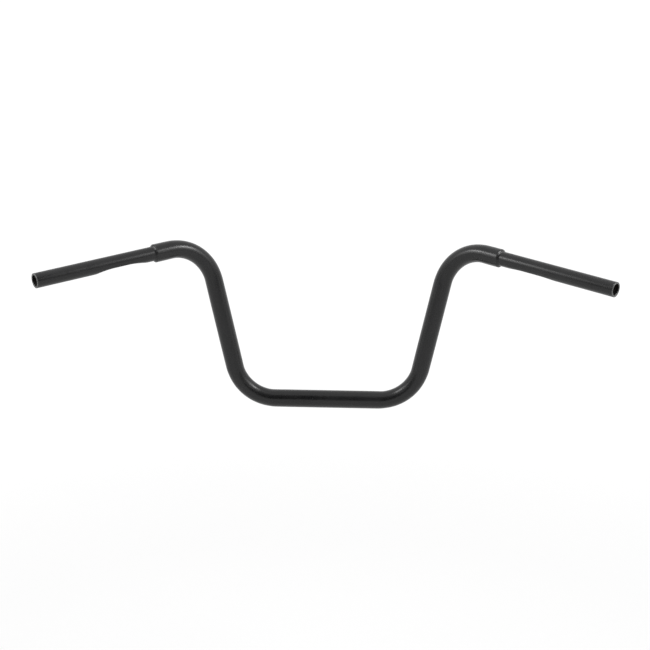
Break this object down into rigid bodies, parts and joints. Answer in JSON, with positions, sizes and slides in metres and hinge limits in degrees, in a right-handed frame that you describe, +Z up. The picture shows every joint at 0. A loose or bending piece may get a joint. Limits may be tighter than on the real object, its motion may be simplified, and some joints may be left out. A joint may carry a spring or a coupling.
{
  "type": "ape hanger handlebar",
  "caption": "Tall U-shaped motorbike handlebar bent from thick black tube, with a thinner grip tube welded into each end, swept back to the rider.",
  "frame": {"origin": "on the main tube's axis, at the middle of the straight base that the handlebar clamps hold", "axes": "+X to the rider's right along the clamped base, +Y forward, +Z up in the plane of the two risers"},
  "size_m": [0.9552, 0.2207, 0.3103],
  "materials": {
    "black_coat": "satin black powder coat"
  },
  "bodies": {
    "root": {"main_tube": "black_coat", "grip_tube_left": "black_coat", "grip_tube_right": "black_coat"}
  },
  "joints": []
}
